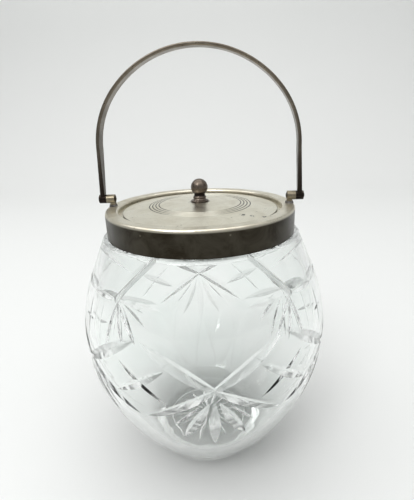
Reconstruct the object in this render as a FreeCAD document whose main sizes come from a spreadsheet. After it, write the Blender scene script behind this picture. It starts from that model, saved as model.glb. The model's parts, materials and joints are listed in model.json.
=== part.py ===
import FreeCAD, Part
import math
import os
import re

import Sketcher

# Biscuit jar: a barrel of thick cut glass with a metal collar, a lift-off lid and a swinging bail.
# Millimetres and degrees. Z is up, the jar stands on Z = 0 and its axis is the Z axis.
# The bail swings about a line along X, and the front of the jar faces -Y.

# Driving dimensions: name, value, what it is
DIMENSIONS = [
    ("jar_height", 170, "table to the flat top of the collar"),
    ("belly_radius", 78.4, "glass at its widest"),
    ("belly_height", 92.5, "height of the widest place"),
    ("belly_arc", 98, "radius of the belly in profile"),
    ("shoulder_angle", 23, "lean of the straight shoulder from upright"),
    ("hip_angle", 20, "lean where the belly passes into the hip"),
    ("hip_arc", 155, "radius of the hip in profile"),
    ("base_angle", 38, "lean of the glass above the foot"),
    ("foot_round", 2.5, "rounding at the foot"),
    ("foot_ring_inner", 29.5, "inner radius of the ground ring that the jar stands on"),
    ("recess_depth", 0.8, "hollow inside the ring"),
    ("shoulder_round", 3, "rounding of the glass under the collar"),
    ("glass_wall", 5.6, "thickness of the glass"),
    ("floor_thickness", 11, "thickness of the glass floor"),
    ("neck_radius", 55.4, "outside of the glass neck in the collar"),
    ("rim_drop", 4.8, "collar top down to the ground rim of the glass"),
    ("ledge_gap", 0.3, "collar's lower edge above the glass"),
    ("collar_radius", 58, "outside of the collar"),
    ("collar_height", 15.1, "height of the collar's band"),
    ("collar_metal", 0.9, "thickness of the collar's metal"),
    ("collar_edge", 1.5, "rounding of the collar's top edge"),
    ("lip_radius", 50.2, "inside of the well that the lid lies in"),
    ("lip_round", 1.3, "rounding of the lip of the well"),
    ("seat_depth", 3.3, "collar top down to the lid's seat"),
    ("seat_radius", 45.6, "opening inside the lid's seat"),
    ("bed_gap", 0.05, "cement to the pieces that it holds"),
    ("cement_inset", 0.8, "cement above the collar's lower edge"),
    ("lid_radius", 47.6, "outside of the lid"),
    ("lid_crown", 2, "middle of the lid above the collar top"),
    ("lid_drop", 2, "edge of the lid below the collar top"),
    ("lid_metal", 1.2, "thickness of the lid"),
    ("lid_gap", 0.1, "lid above its seat"),
    ("line_radius", 25.4, "innermost turned line on the lid"),
    ("line_pitch", 1.95, "spacing of the turned lines"),
    ("line_count", 4, "number of turned lines"),
    ("line_width", 0.5, "width of a turned line"),
    ("line_depth", 0.25, "depth of a turned line"),
    ("ring_radius", 44.9, "outside of the locating ring under the lid"),
    ("ring_metal", 0.8, "thickness of the locating ring"),
    ("ring_height", 4, "height of the locating ring"),
    ("ball_radius", 5.2, "ball of the knob"),
    ("ball_height", 8.8, "middle of the ball above the lid"),
    ("knob_foot_radius", 5.5, "foot of the knob"),
    ("knob_foot_edge", 0.45, "rounding of the knob's foot"),
    ("bead_seat_radius", 3.75, "stem of the knob where its bead sits"),
    ("bead_low", 2, "lower edge of the bead above the lid"),
    ("bead_high", 3.2, "upper edge of the bead above the lid"),
    ("bead_round", 0.7, "rounding of the bead"),
    ("cavetto_round", 1.6, "hollow between the knob's foot and its bead"),
    ("waist_round", 2.4, "hollow of the knob's waist"),
    ("waist_top_radius", 3.3, "stem where it meets the ball"),
    ("stud_radius", 1.5, "knob's stud"),
    ("stud_bore_depth", 6, "how far the stud goes into the knob"),
    ("stud_tail", 1.2, "stud below its nut"),
    ("thread_gap", 0.03, "stud to the pieces round it"),
    ("washer_radius", 4, "washer under the lid"),
    ("washer_metal", 0.6, "thickness of the washer"),
    ("nut_flats", 5.5, "nut across its flats"),
    ("nut_height", 2.4, "height of the nut"),
    ("hinge_height", 4.6, "bail's axis above the collar top"),
    ("barrel_radius", 2.75, "outside of a lug's barrel"),
    ("barrel_inner", 53.5, "inner end of a lug's barrel from the jar's axis"),
    ("barrel_length", 5.0, "length of a lug's barrel"),
    ("lug_foot_middle", 55, "middle of a lug's foot from the jar's axis"),
    ("lug_foot_length", 3, "lug's foot across the collar"),
    ("lug_foot_width", 3.4, "lug's foot along the collar"),
    ("solder_radius", 2.7, "solder bead at the collar"),
    ("solder_top_radius", 2.3, "solder bead at its top"),
    ("solder_sink", 0.5, "solder bead below the collar's top, where the edge is rounded"),
    ("solder_height", 1.1, "height of the solder bead"),
    ("pin_radius", 1.3, "shank of a rivet"),
    ("pin_fit", 0.05, "shank to the hole that turns on it"),
    ("rivet_head_radius", 2.2, "inner head of a rivet"),
    ("rivet_head_height", 0.8, "height of a rivet's inner head"),
    ("rivet_tail_radius", 1.9, "outer head of a rivet"),
    ("rivet_tail_height", 0.6, "height of a rivet's outer head"),
    ("rivet_play", 0.15, "eye to the rivet's outer head"),
    ("eye_play", 0.2, "lug's barrel to the bail's eye"),
    ("eye_length", 4.5, "length of an eye of the bail"),
    ("eye_radius", 2.7, "outside of an eye of the bail"),
    ("bail_half_width", 59.4, "middle of the strip from the jar's axis at the legs"),
    ("bail_height", 89, "middle of the strip above the collar top at the crown"),
    ("crown_arc", 62, "radius of the bail's crown"),
    ("crown_end_angle", 40, "where the crown passes into the sides"),
    ("strip_width", 8.6, "width of the bail's strip"),
    ("strip_metal", 2, "thickness of the bail's strip"),
    ("strip_round", 0.8, "rounding of the strip's edges"),
    ("leg_end_width", 4.6, "width of a leg at the eye"),
    ("leg_end_metal", 2.8, "thickness of a leg at the eye"),
    ("leg_end_rise", 1.4, "end of a leg above the bail's axis"),
    ("pattern_turn", 7.7, "front cross of the cutting from -Y towards +X"),
    ("window_turn", -2.8, "upper stars from the lattice, in degrees"),
    ("window_count", 3, "clear windows round the jar, with two lattice cells to each"),
    ("cross_height", 92, "crossings of the lattice"),
    ("crest_height", 116, "upper points of the lattice"),
    ("trough_height", 70, "lower points of the lattice"),
    ("point_gap", 1, "half the gap between two lattice cuts at a point, in degrees"),
    ("cross_overrun", 4, "how far a lattice cut runs past its crossing, in degrees"),
    ("upper_cut_width", 7.6, "lattice cuts above the crossings"),
    ("upper_cut_depth", 2.2, "lattice cuts above the crossings"),
    ("lower_cut_width", 5.6, "lattice cuts below the crossings"),
    ("lower_cut_depth", 1.6, "lattice cuts below the crossings"),
    ("cell_height", 92.4, "middle of a lattice cell"),
    ("cell_cut_rise", 10.3, "end of a cell's cut above its middle"),
    ("cell_cut_spread", 11.6, "end of a cell's cut beside its middle, in degrees"),
    ("fine_cut_spread", 11.8, "inner lower end of a cell's fine cut beside its middle, in degrees"),
    ("fine_cut_outer_spread", 9, "outer upper end of a cell's fine cut beside its middle, in degrees"),
    ("leaf_width", 5.6, "wide cut in a cell"),
    ("leaf_depth", 1.6, "wide cut in a cell"),
    ("cell_fine_width", 2.6, "fine cut in a cell"),
    ("cell_fine_depth", 0.9, "fine cut in a cell"),
    ("fine_width", 1.9, "fine cuts"),
    ("fine_depth", 0.7, "fine cuts"),
    ("fan_start_height", 85, "upper ends of the wide petals"),
    ("fan_fine_start_height", 83, "upper ends of the fine petals"),
    ("fan_side_start", 1.7, "upper end of a side petal, in degrees"),
    ("fan_outer_start", 5.5, "upper end of an outer petal, in degrees"),
    ("fan_mid_height", 48.5, "lower end of the middle petal"),
    ("fan_side_height", 56.5, "lower end of a side petal"),
    ("fan_side_spread", 13.6, "lower end of a side petal, in degrees"),
    ("fan_outer_height", 68, "lower end of an outer petal"),
    ("fan_outer_spread", 16.4, "lower end of an outer petal, in degrees"),
    ("petal_width", 6.2, "wide petals"),
    ("petal_depth", 1.8, "wide petals"),
    ("node_spread", 39.5, "upper star from the middle of its window, in degrees"),
    ("node_height", 132.2, "height of an upper star"),
    ("arm_spread", 23.3, "upper end of a star's long arm, in degrees"),
    ("arm_height", 152, "upper end of a star's long arm"),
    ("arm_bow", 1.5, "middle of a star's long arm above a straight line"),
    ("arm_bow_turn", 1, "middle of a star's long arm outside a straight line, in degrees"),
    ("arm_width", 4.6, "long arm of a star"),
    ("arm_depth", 1.3, "long arm of a star"),
    ("ray_height", 106, "lower end of a star's outer ray"),
    ("ray_spread", 44, "lower end of a star's outer ray, in degrees"),
    ("mid_ray_height", 110.5, "lower end of a star's middle ray"),
    ("mid_ray_spread", 34.6, "lower end of a star's middle ray, in degrees"),
    ("inner_ray_height", 113, "lower end of a star's inner ray"),
    ("inner_ray_spread", 27.7, "lower end of a star's inner ray, in degrees"),
    ("side_leaf_height", 131, "outer end of a star's level leaf"),
    ("side_leaf_reach", 20.5, "length of a star's outer level leaf, in degrees"),
    ("side_leaf_width", 3.6, "level leaves of a star"),
    ("side_leaf_depth", 1, "level leaves of a star"),
    ("faint_leaf_reach", 22, "length of a star's inner level leaf, in degrees"),
    ("faint_leaf_depth", 0.6, "inner level leaf of a star"),
    ("post_top", 128, "upper end of the upright cut between two windows"),
    ("post_bottom", 104, "lower end of the upright cut between two windows"),
    ("bar_height", 116, "short level cut across the upright one"),
    ("bar_spread", 4.5, "half the short level cut, in degrees"),
    ("arch_height", 151.2, "shoulder line between two windows, in its middle"),
    ("arch_end_height", 146.6, "ends of that line"),
    ("arch_spread", 27, "half that line, in degrees"),
    ("arch_width", 3.2, "width of that line"),
    ("arch_depth", 0.8, "depth of that line"),
    ("star_count", 16, "rays cut in the base"),
    ("star_inner", 4.6, "inner end of a ray in the base"),
    ("star_outer", 27, "outer end of a ray in the base"),
    ("star_width", 3, "width of a ray in the base"),
    ("star_depth", 1.3, "depth of a ray in the base"),
]

doc = FreeCAD.newDocument("biscuit_jar")
sheet = doc.addObject("Spreadsheet::Sheet", "Sizes")
for row, (name, size, meaning) in enumerate(DIMENSIONS, start=1):
    sheet.set(f"A{row}", meaning)
    sheet.set(f"B{row}", str(size))
    sheet.setAlias(f"B{row}", name)
doc.recompute()

NAMES = {name for name, _, _ in DIMENSIONS}
RIGHT, LEFT = 1, -1
MARGIN = 1.0  # how far a cutting wheel stands clear of the glass
STRAIGHTEST = 0.05  # the least that a wheel's path bends over a cut
OVERRUN = 1.15  # a wheel's path as a share of the cut, so that it runs past both ends
CUTS_AT_A_TIME = 6  # the jar is cut a few cuts at a time
LEAN_SPAN = 1.0  # height over which the lean of the glass is measured


def bound(text):
    """An expression on the sheet, from words that are its names."""
    return re.sub(r"[a-z_]+", lambda word: "Sizes." + word[0] if word[0] in NAMES else word[0], text)


def size(text):
    """The number that an expression on the sheet gives now."""
    return float(FreeCAD.Units.Quantity(sheet.evalExpression(bound(text))).Value)


# Places that several pieces share
rim_top = "(jar_height - rim_drop)"
band_foot = "(jar_height - collar_height)"
ledge = f"({band_foot} - ledge_gap)"
seat = "(jar_height - seat_depth)"
lid_foot = f"({seat} + lid_gap)"
lid_top = "(jar_height + lid_crown)"
lid_dome = "((lid_radius^2 + (lid_crown + lid_drop)^2) / (2*(lid_crown + lid_drop)))"
lid_under_dome = f"({lid_dome} - lid_metal)"
hinge_axis = "(jar_height + hinge_height)"
eye_inner = "(barrel_inner + barrel_length + eye_play)"
eye_outer = f"({eye_inner} + eye_length)"


def dome_at(radius, dome=lid_dome):
    """Height of the lid's top, or of its underside, at a radius."""
    return f"({lid_top} - {lid_dome} + sqrt({dome}^2 - {radius}^2))"


def plane(body, role):
    for feature in body.Origin.OriginFeatures:
        if feature.Role == role:
            return feature
    raise ValueError(role)


def new_body(label):
    body = doc.addObject("PartDesign::Body", label)
    body.Label = label
    return body


def new_sketch(body, name, role, lift=None, shift=None):
    """A sketch on an origin plane of its body, lifted off it or shifted up in it."""
    sketch = body.newObject("Sketcher::SketchObject", name)
    sketch.AttachmentSupport = [(plane(body, role), "")]
    sketch.MapMode = "FlatFace"
    if lift:
        sketch.setExpression("AttachmentOffset.Base.z", bound(lift))
    if shift:
        sketch.setExpression("AttachmentOffset.Base.y", bound(shift))
    return sketch


def hold(sketch, kind, geometry, point, text):
    """Binds one coordinate of a point of the sketch to an expression."""
    axis_line = {"DistanceX": -2, "DistanceY": -1}[kind]
    if text == "0":
        sketch.addConstraint(Sketcher.Constraint("PointOnObject", geometry, point, axis_line))
        return
    index = sketch.addConstraint(Sketcher.Constraint(kind, -1, 1, geometry, point, size(text)))
    sketch.setExpression(f"Constraints[{index}]", bound(text))


def arc_through(start, end, radius):
    """Centre and angles of the short arc from start to end: it turns left where radius is positive."""
    (x0, y0), (x1, y1) = start, end
    middle_x, middle_y = (x0 + x1) / 2, (y0 + y1) / 2
    chord = math.hypot(x1 - x0, y1 - y0)
    rise = math.sqrt(max(radius * radius - chord * chord / 4, 0.0)) * (1 if radius > 0 else -1)
    centre = (middle_x - (y1 - y0) / chord * rise, middle_y + (x1 - x0) / chord * rise)
    angles = [math.atan2(y - centre[1], x - centre[0]) for x, y in (start, end)]
    return centre, angles


def draw(sketch, corners, closed=True):
    """Draws an outline through corners, each (across, up) or (across, up, turn, radius).
    A corner with a turn starts an arc to the next corner, left or right, of that radius."""
    places = [(size(corner[0]), size(corner[1])) for corner in corners]
    count = len(corners) if closed else len(corners) - 1
    ends = []
    for index in range(count):
        start, end = places[index], places[(index + 1) % len(places)]
        if len(corners[index]) == 2:
            line = Part.LineSegment(FreeCAD.Vector(*start, 0), FreeCAD.Vector(*end, 0))
            sketch.addGeometry(line, False)
            ends.append((1, 2))
            continue
        turn, radius = corners[index][2:]
        sign = 1 if turn == "left" else -1
        centre, angles = arc_through(start, end, sign * size(radius))
        circle = Part.Circle(FreeCAD.Vector(*centre, 0), FreeCAD.Vector(0, 0, 1), size(radius))
        first, last = angles if sign > 0 else reversed(angles)
        if last < first:
            last += 2 * math.pi
        sketch.addGeometry(Part.ArcOfCircle(circle, first, last), False)
        ends.append((1, 2) if sign > 0 else (2, 1))
    for index in range(count):
        hold(sketch, "DistanceX", index, ends[index][0], corners[index][0])
        hold(sketch, "DistanceY", index, ends[index][0], corners[index][1])
        if len(corners[index]) == 4:
            radius_index = sketch.addConstraint(Sketcher.Constraint("Radius", index, size(corners[index][3])))
            sketch.setExpression(f"Constraints[{radius_index}]", bound(corners[index][3]))
        if closed or index + 1 < count:
            following = (index + 1) % count
            sketch.addConstraint(
                Sketcher.Constraint("Coincident", index, ends[index][1], following, ends[following][0])
            )
    if not closed:
        hold(sketch, "DistanceX", count - 1, ends[-1][1], corners[-1][0])
        hold(sketch, "DistanceY", count - 1, ends[-1][1], corners[-1][1])


def circle(sketch, across, up, radius):
    """Draws a circle whose middle and radius follow the sheet."""
    shape = Part.Circle(FreeCAD.Vector(size(across), size(up), 0), FreeCAD.Vector(0, 0, 1), size(radius))
    sketch.addGeometry(shape, False)
    hold(sketch, "DistanceX", 0, 3, across)
    hold(sketch, "DistanceY", 0, 3, up)
    index = sketch.addConstraint(Sketcher.Constraint("Radius", 0, size(radius)))
    sketch.setExpression(f"Constraints[{index}]", bound(radius))


def rounded_rectangle(sketch, across, up, length, width, rounding):
    """Draws a rectangle with rounded corners about a middle."""
    low_x, high_x = f"({across} - {length}/2)", f"({across} + {length}/2)"
    low_y, high_y = f"({up} - {width}/2)", f"({up} + {width}/2)"
    draw(
        sketch,
        [
            (f"{low_x} + {rounding}", low_y),
            (f"{high_x} - {rounding}", low_y, "left", rounding),
            (high_x, f"{low_y} + {rounding}"),
            (high_x, f"{high_y} - {rounding}", "left", rounding),
            (f"{high_x} - {rounding}", high_y),
            (f"{low_x} + {rounding}", high_y, "left", rounding),
            (low_x, f"{high_y} - {rounding}"),
            (low_x, f"{low_y} + {rounding}", "left", rounding),
        ],
    )


def turned(label, corners, axis="V_Axis", shift=None):
    """A piece turned on a lathe: an outline on XZ, revolved."""
    body = new_body(label)
    sketch = new_sketch(body, label + "_outline", "XZ_Plane", shift=shift)
    draw(sketch, corners)
    turning = body.newObject("PartDesign::Revolution", label + "_turning")
    turning.Profile = sketch
    turning.ReferenceAxis = (sketch, [axis])
    turning.Angle = 360
    return body


# The glass: an outline of tangent arcs, the inside a wall's thickness within the outside
def belly_point(inset, angle, way):
    across = f"(belly_radius - belly_arc + (belly_arc - {inset})*cos({angle}))"
    return across, f"(belly_height {way} (belly_arc - {inset})*sin({angle}))"


hip_centre_x = "(belly_radius - belly_arc + (belly_arc - hip_arc)*cos(hip_angle))"
hip_centre_z = "(belly_height - (belly_arc - hip_arc)*sin(hip_angle))"


def hip_point(inset, angle):
    across = f"({hip_centre_x} + (hip_arc - {inset})*cos({angle}))"
    return across, f"({hip_centre_z} - (hip_arc - {inset})*sin({angle}))"


shoulder_x, shoulder_z = belly_point("0", "shoulder_angle", "+")
inner_shoulder_x, inner_shoulder_z = belly_point("glass_wall", "shoulder_angle", "+")
base_x, base_z = hip_point("0", "base_angle")
inner_base_x, inner_base_z = hip_point("glass_wall", "base_angle")
edge_x = f"({shoulder_x} - ({ledge} - {shoulder_z})*tan(shoulder_angle))"
edge_cut = "(shoulder_round*tan((90 - shoulder_angle)/2))"
foot_x = f"({base_x} - {base_z}*tan(base_angle))"
foot_cut = "(foot_round*tan((90 - base_angle)/2))"
floor_arc = f"(({inner_base_z} - floor_thickness)/(1 - sin(base_angle)))"
mouth_x = f"({inner_shoulder_x} - ({rim_top} - {inner_shoulder_z})*tan(shoulder_angle))"

glass_blank = turned(
    "glass_blank",
    [
        ("0", "recess_depth"),
        ("foot_ring_inner - recess_depth", "recess_depth"),
        ("foot_ring_inner", "0"),
        (f"{foot_x} - {foot_cut}", "0", "left", "foot_round"),
        (f"{foot_x} + {foot_cut}*sin(base_angle)", f"{foot_cut}*cos(base_angle)"),
        (base_x, base_z, "left", "hip_arc"),
        (*hip_point("0", "hip_angle"), "left", "belly_arc"),
        (shoulder_x, shoulder_z),
        (
            f"{edge_x} + {edge_cut}*sin(shoulder_angle)",
            f"{ledge} - {edge_cut}*cos(shoulder_angle)",
            "left",
            "shoulder_round",
        ),
        (f"{edge_x} - {edge_cut}", ledge),
        ("neck_radius", ledge),
        ("neck_radius", rim_top),
        (mouth_x, rim_top),
        (inner_shoulder_x, inner_shoulder_z, "right", "(belly_arc - glass_wall)"),
        (*hip_point("glass_wall", "hip_angle"), "right", "(hip_arc - glass_wall)"),
        (inner_base_x, inner_base_z, "right", floor_arc),
        (f"{inner_base_x} - {floor_arc}*cos(base_angle)", "floor_thickness"),
        ("0", "floor_thickness"),
    ],
)


def glass_radius(height):
    """Outside radius of the glass at a height: shoulder, belly, hip and the lean above the foot."""
    if height > size(shoulder_z):
        return size(shoulder_x) - (height - size(shoulder_z)) * math.tan(math.radians(size("shoulder_angle")))
    if height > size(hip_point("0", "hip_angle")[1]):
        arc, centre_x, centre_z = size("belly_arc"), size("belly_radius - belly_arc"), size("belly_height")
    elif height > size(base_z):
        arc, centre_x, centre_z = size("hip_arc"), size(hip_centre_x), size(hip_centre_z)
    else:
        return size(base_x) - (size(base_z) - height) * math.tan(math.radians(size("base_angle")))
    return centre_x + math.sqrt(arc * arc - (height - centre_z) ** 2)


def on_glass(turn, height):
    """The point of the glass at a turn in degrees from -Y towards +X, and the way out of it."""
    angle = math.radians(turn)
    across = FreeCAD.Vector(math.sin(angle), -math.cos(angle), 0)
    up = FreeCAD.Vector(0, 0, 1)
    lean = (glass_radius(height + LEAN_SPAN / 2) - glass_radius(height - LEAN_SPAN / 2)) / LEAN_SPAN
    return across * glass_radius(height) + up * height, (across - up * lean).normalize()


def wheel_cut(start, middle, end, outward, width, depth):
    """The solid that a V-edged wheel sweeps in the plane of start, end and outward.
    Its edge runs on a circle through start, a point depth below middle, and end.
    It opens to width at the middle."""
    chord = end - start
    halfway = (start + end) / 2
    plane_normal = chord.cross(outward).normalize()
    outward = plane_normal.cross(chord).normalize()
    drop = (middle - halfway).dot(outward) - depth
    if abs(drop) < STRAIGHTEST:
        drop = STRAIGHTEST
    deepest = halfway + outward * drop
    run = Part.Circle(start, deepest, end)
    centre, radius = run.Center, run.Radius
    towards = (deepest - centre).normalize()
    side = 1 if towards.dot(outward) > 0 else -1  # the circle's middle is within the glass, or outside it
    opening = depth + MARGIN
    half = width / 2 * opening / depth
    rim = deepest + towards * side * opening
    section = [deepest, rim + plane_normal * half, rim - plane_normal * half]
    swing = math.degrees(2 * math.asin(min(OVERRUN * chord.Length / 4 / radius, 1.0)))
    face = Part.Face(Part.makePolygon(section + section[:1]))
    face.rotate(centre, plane_normal, -swing)
    return face.revolve(centre, plane_normal, 2 * swing)


def surface_cut(start, end, width, depth, middle=None):
    """A mitre cut between two places on the glass, each (turn, height).
    It is square to the glass, or goes by way of a middle place."""
    first, last = on_glass(*start)[0], on_glass(*end)[0]
    if middle is None:
        middle_point, outward = on_glass((start[0] + end[0]) / 2, (start[1] + end[1]) / 2)
    else:
        middle_point = on_glass(*middle)[0]
        outward = middle_point - (first + last) / 2
    return wheel_cut(first, middle_point, last, outward, size(width), size(depth))


def lattice_cuts(crossing, mirror):
    """One side of a crossing: its upper and its lower lattice cut, each run on past the crossing."""
    reach, overrun = 90 / size("window_count") - size("point_gap"), size("cross_overrun")
    cuts = []
    for height, width, depth in (
        ("crest_height", "upper_cut_width", "upper_cut_depth"),
        ("trough_height", "lower_cut_width", "lower_cut_depth"),
    ):
        rise = size(height) - size("cross_height")
        tip = (crossing + mirror * reach, size(height))
        past = (crossing - mirror * overrun, size("cross_height") - rise * overrun / reach)
        cuts.append(surface_cut(tip, past, width, depth))
    return cuts


def cell_cuts(middle, mirror):
    """The wide and the fine cut that cross in a lattice cell."""
    spread, rise, height = size("cell_cut_spread"), size("cell_cut_rise"), size("cell_height")
    low, high = height - rise, height + rise
    leaf_ends = (middle - mirror * spread, high), (middle + mirror * spread, low)
    fine_ends = (
        (middle + mirror * size("fine_cut_outer_spread"), high),
        (middle - mirror * size("fine_cut_spread"), low),
    )
    return [
        surface_cut(*leaf_ends, "leaf_width", "leaf_depth"),
        surface_cut(*fine_ends, "cell_fine_width", "cell_fine_depth"),
    ]


def fan_cuts(crossing):
    """The five petals under a crossing."""
    start = size("fan_start_height")
    cuts = [
        surface_cut((crossing, start), (crossing, size("fan_mid_height")), "petal_width", "petal_depth")
    ]
    for mirror in (LEFT, RIGHT):
        side = crossing + mirror * size("fan_side_spread")
        outer = crossing + mirror * size("fan_outer_spread")
        side_start = (crossing + mirror * size("fan_side_start"), start)
        outer_start = (crossing + mirror * size("fan_outer_start"), size("fan_fine_start_height"))
        cuts.append(surface_cut(side_start, (side, size("fan_side_height")), "petal_width", "petal_depth"))
        cuts.append(surface_cut(outer_start, (outer, size("fan_outer_height")), "fine_width", "fine_depth"))
    return cuts


def star_cuts(window, mirror):
    """An upper star beside a window: its long arm, three rays and two level leaves."""
    place = window + mirror * size("node_spread")
    node = (place, size("node_height"))
    rays = [
        (size("ray_spread"), size("ray_height")),
        (size("mid_ray_spread"), size("mid_ray_height")),
        (size("inner_ray_spread"), size("inner_ray_height")),
    ]
    arm_end = (window + mirror * size("arm_spread"), size("arm_height"))
    bowed = (
        (node[0] + arm_end[0]) / 2 + mirror * size("arm_bow_turn"),
        (node[1] + arm_end[1]) / 2 + size("arm_bow"),
    )
    cuts = [surface_cut(node, arm_end, "arm_width", "arm_depth", middle=bowed)]
    for spread, height in rays:
        cuts.append(surface_cut(node, (window + mirror * spread, height), "fine_width", "fine_depth"))
    outer_end = (place + mirror * size("side_leaf_reach"), size("side_leaf_height"))
    inner_end = (place - mirror * size("faint_leaf_reach"), size("node_height"))
    cuts.append(surface_cut(node, outer_end, "side_leaf_width", "side_leaf_depth"))
    cuts.append(surface_cut(node, inner_end, "side_leaf_width", "faint_leaf_depth"))
    return cuts


def post_cuts(middle):
    """Between two windows: an upright cut, a short one across it, and the line on the shoulder."""
    bar, bar_height = size("bar_spread"), size("bar_height")
    arch, arch_end = size("arch_spread"), size("arch_end_height")
    return [
        surface_cut((middle, size("post_top")), (middle, size("post_bottom")), "fine_width", "fine_depth"),
        surface_cut((middle - bar, bar_height), (middle + bar, bar_height), "fine_width", "fine_depth"),
        surface_cut(
            (middle - arch, arch_end),
            (middle + arch, arch_end),
            "arch_width",
            "arch_depth",
            middle=(middle, size("arch_height")),
        ),
    ]


def base_cuts():
    """The star in the base."""
    cuts = []
    count = round(size("star_count"))
    down = FreeCAD.Vector(0, 0, -1)
    base = FreeCAD.Vector(0, 0, size("recess_depth"))
    inner, outer = size("star_inner"), size("star_outer")
    for index in range(count):
        angle = 2 * math.pi * (index + 0.5) / count
        ray = FreeCAD.Vector(math.cos(angle), math.sin(angle), 0)
        start, middle, end = (base + ray * reach for reach in (inner, (inner + outer) / 2, outer))
        cuts.append(wheel_cut(start, middle, end, down, size("star_width"), size("star_depth")))
    return cuts


cuts = base_cuts()
windows = round(size("window_count"))
for window_index in range(windows):
    window = size("pattern_turn") + 360 / windows * window_index
    between = window + 180 / windows
    for crossing in (window, between):
        cuts += fan_cuts(crossing)
        for mirror in (LEFT, RIGHT):
            cuts += lattice_cuts(crossing, mirror)
    for mirror in (LEFT, RIGHT):
        cuts += cell_cuts(window + mirror * 90 / windows, mirror)
        cuts += star_cuts(window + size("window_turn"), mirror)
    cuts += post_cuts(between + size("window_turn"))

doc.recompute()
cut_glass = glass_blank.Shape
for first_cut in range(0, len(cuts), CUTS_AT_A_TIME):
    cut_glass = cut_glass.cut(cuts[first_cut : first_cut + CUTS_AT_A_TIME])
glass_jar = doc.addObject("Part::Feature", "glass_jar")
glass_jar.Label = "glass_jar"
glass_jar.Shape = cut_glass
glass_jar.Placement = FreeCAD.Placement()

# The collar: sheet metal from the band over the top into the lid's seat
collar_inside = "(collar_radius - collar_metal)"
rim_collar = turned(
    "rim_collar",
    [
        (collar_inside, band_foot),
        ("collar_radius", band_foot),
        ("collar_radius", "jar_height - collar_edge", "left", "collar_edge"),
        ("collar_radius - collar_edge", "jar_height"),
        ("lip_radius + lip_round", "jar_height", "left", "lip_round"),
        ("lip_radius", "jar_height - lip_round"),
        ("lip_radius", seat),
        ("seat_radius", seat),
        ("seat_radius", f"{seat} - collar_metal"),
        ("lip_radius + collar_metal", f"{seat} - collar_metal"),
        ("lip_radius + collar_metal", "jar_height - lip_round", "right", "(lip_round - collar_metal)"),
        ("lip_radius + lip_round", "jar_height - collar_metal"),
        ("collar_radius - collar_edge", "jar_height - collar_metal", "right", "(collar_edge - collar_metal)"),
        (collar_inside, "jar_height - collar_edge"),
    ],
)

collar_cement = turned(
    "collar_cement",
    [
        ("neck_radius + bed_gap", f"{band_foot} + cement_inset"),
        (f"{collar_inside} - bed_gap", f"{band_foot} + cement_inset"),
        (f"{collar_inside} - bed_gap", "jar_height - collar_edge"),
        ("collar_radius - collar_edge", "jar_height - collar_metal - bed_gap"),
        ("lip_radius + lip_round", "jar_height - collar_metal - bed_gap"),
        ("lip_radius + collar_metal + bed_gap", "jar_height - lip_round"),
        ("lip_radius + collar_metal + bed_gap", f"{rim_top} + bed_gap"),
        ("neck_radius + bed_gap", f"{rim_top} + bed_gap"),
    ],
)

# The lid: a shallow dome with a flat rim, and turned lines on its top
ring_inner = "(ring_radius - ring_metal)"
stud_hole = "(stud_radius + thread_gap)"
lid_outline = [
    (stud_hole, dome_at(stud_hole, lid_under_dome), "right", lid_under_dome),
    (ring_inner, dome_at(ring_inner, lid_under_dome)),
    (ring_inner, lid_foot),
    ("lid_radius", lid_foot),
    ("lid_radius", "jar_height - lid_drop", "left", lid_dome),
]
for line in reversed(range(round(size("line_count")))):
    line_middle = f"(line_radius + {line}*line_pitch)"
    line_outside = f"({line_middle} + line_width/2)"
    line_inside = f"({line_middle} - line_width/2)"
    lid_outline += [
        (line_outside, dome_at(line_outside)),
        (line_middle, f"{dome_at(line_middle)} - line_depth"),
        (line_inside, dome_at(line_inside), "left", lid_dome),
    ]
lid_outline.append((stud_hole, dome_at(stud_hole)))
lid_plate = turned("lid_plate", lid_outline)

# Under the lid: the locating ring, and the washer and nut on the knob's stud
ring_outside = doc.addObject("Part::Cylinder", "ring_outside")
ring_outside.setExpression("Radius", bound("ring_radius"))
ring_outside.setExpression("Height", bound("ring_height"))
ring_inside = doc.addObject("Part::Cylinder", "ring_inside")
ring_inside.setExpression("Radius", bound(ring_inner))
ring_inside.setExpression("Height", bound("ring_height"))
lid_locating_ring = doc.addObject("Part::Cut", "lid_locating_ring")
lid_locating_ring.Base = ring_outside
lid_locating_ring.Tool = ring_inside
lid_locating_ring.setExpression("Placement.Base.z", bound(f"{lid_foot} - ring_height"))

washer_top = dome_at("washer_radius", lid_under_dome)
washer_outside = doc.addObject("Part::Cylinder", "washer_outside")
washer_outside.setExpression("Radius", bound("washer_radius"))
washer_outside.setExpression("Height", bound("washer_metal"))
washer_hole = doc.addObject("Part::Cylinder", "washer_hole")
washer_hole.setExpression("Radius", bound(stud_hole))
washer_hole.setExpression("Height", bound("washer_metal"))
knob_washer = doc.addObject("Part::Cut", "knob_washer")
knob_washer.Base = washer_outside
knob_washer.Tool = washer_hole
knob_washer.setExpression("Placement.Base.z", bound(f"{washer_top} - washer_metal"))

nut_top = f"({washer_top} - washer_metal)"
nut_outside = doc.addObject("Part::Prism", "nut_outside")
nut_outside.Polygon = 6
nut_outside.setExpression("Circumradius", bound("nut_flats/2/cos(30)"))
nut_outside.setExpression("Height", bound("nut_height"))
nut_hole = doc.addObject("Part::Cylinder", "nut_hole")
nut_hole.setExpression("Radius", bound(stud_hole))
nut_hole.setExpression("Height", bound("nut_height"))
knob_nut = doc.addObject("Part::Cut", "knob_nut")
knob_nut.Base = nut_outside
knob_nut.Tool = nut_hole
knob_nut.setExpression("Placement.Base.z", bound(f"{nut_top} - nut_height"))

stud_foot = f"({nut_top} - nut_height - stud_tail)"
knob_stud = doc.addObject("Part::Cylinder", "knob_stud")
knob_stud.setExpression("Radius", bound("stud_radius"))
knob_stud.setExpression("Height", bound(f"{lid_top} + stud_bore_depth - {stud_foot}"))
knob_stud.setExpression("Placement.Base.z", bound(stud_foot))

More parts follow.
